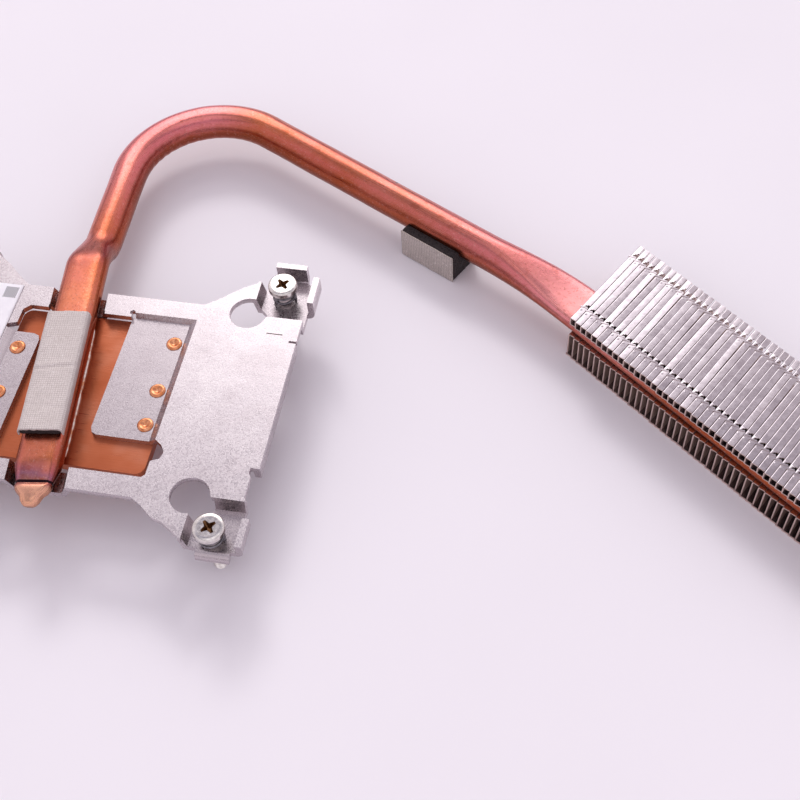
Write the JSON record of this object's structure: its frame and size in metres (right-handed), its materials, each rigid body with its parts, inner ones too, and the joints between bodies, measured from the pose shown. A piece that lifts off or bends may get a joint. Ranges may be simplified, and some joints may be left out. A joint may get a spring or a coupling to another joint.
{
  "type": "laptop cpu heatsink with heat pipe",
  "caption": "Laptop CPU cooler: stamped bracket with spring screws, copper cold plate, one bent heat pipe and a folded fin stack.",
  "frame": {"origin": "centre of the cold plate's contact face, which meets the processor", "axes": "+Z away from the processor, +X from the plate towards the fin stack, +Y towards the pipe's big bend"},
  "size_m": [0.169, 0.0921, 0.0132],
  "materials": {
    "zinc_plated_steel": "bright zinc plating with fine grain",
    "copper_plate": "bare milled copper",
    "copper_rivet": "bare turned copper",
    "copper_pipe": "bare drawn copper, heat tinted",
    "aluminium_fin": "thin rolled sheet",
    "black_foam": "open cell foam",
    "conductive_fabric": "metallised woven fabric",
    "label_paper": "matt film",
    "nickel_plated_steel": "bright nickel plating",
    "spring_steel": "dark spring steel"
  },
  "bodies": {
    "cooler": {"mounting_bracket": "zinc_plated_steel", "cold_plate": "copper_plate", "rivets": "copper_rivet", "heat_pipe": "copper_pipe", "fins": "aluminium_fin", "pipe_pad_foam": "black_foam", "pipe_pad_fabric": "conductive_fabric", "side_pad_foam": "black_foam", "side_pad_fabric": "conductive_fabric", "label": "label_paper", "spring_right_rear": "spring_steel", "spring_right_front": "spring_steel", "spring_left_rear": "spring_steel", "spring_left_front": "spring_steel"},
    "clip_right_rear": {"clip_right_rear": "spring_steel"},
    "screw_right_rear": {"screw_right_rear": "nickel_plated_steel"},
    "clip_right_front": {"clip_right_front": "spring_steel"},
    "screw_right_front": {"screw_right_front": "nickel_plated_steel"},
    "clip_left_rear": {"clip_left_rear": "spring_steel"},
    "screw_left_rear": {"screw_left_rear": "nickel_plated_steel"},
    "clip_left_front": {"clip_left_front": "spring_steel"},
    "screw_left_front": {"screw_left_front": "nickel_plated_steel"}
  },
  "joints": [
    {"name": "press_right_rear", "type": "slide", "parent": "cooler", "child": "clip_right_rear", "axis": [0, 0, 1], "range_m": [-0.0013, 0], "stiffness_N_per_m": 150, "deforming": ["spring_right_rear"]},
    {"name": "turn_right_rear", "type": "hinge", "parent": "clip_right_rear", "child": "screw_right_rear", "pos_m": [0.0274, 0.0225, 0], "axis": [0, 0, 1], "continuous": true},
    {"name": "press_right_front", "type": "slide", "parent": "cooler", "child": "clip_right_front", "axis": [0, 0, 1], "range_m": [-0.0013, 0], "stiffness_N_per_m": 150, "deforming": ["spring_right_front"]},
    {"name": "turn_right_front", "type": "hinge", "parent": "clip_right_front", "child": "screw_right_front", "pos_m": [0.0274, -0.0225, 0], "axis": [0, 0, 1], "continuous": true},
    {"name": "press_left_rear", "type": "slide", "parent": "cooler", "child": "clip_left_rear", "axis": [0, 0, 1], "range_m": [-0.0013, 0], "stiffness_N_per_m": 150, "deforming": ["spring_left_rear"]},
    {"name": "turn_left_rear", "type": "hinge", "parent": "clip_left_rear", "child": "screw_left_rear", "pos_m": [-0.0266, 0.0225, 0], "axis": [0, 0, 1], "continuous": true},
    {"name": "press_left_front", "type": "slide", "parent": "cooler", "child": "clip_left_front", "axis": [0, 0, 1], "range_m": [-0.0013, 0], "stiffness_N_per_m": 150, "deforming": ["spring_left_front"]},
    {"name": "turn_left_front", "type": "hinge", "parent": "clip_left_front", "child": "screw_left_front", "pos_m": [-0.0266, -0.0225, 0], "axis": [0, 0, 1], "continuous": true}
  ]
}
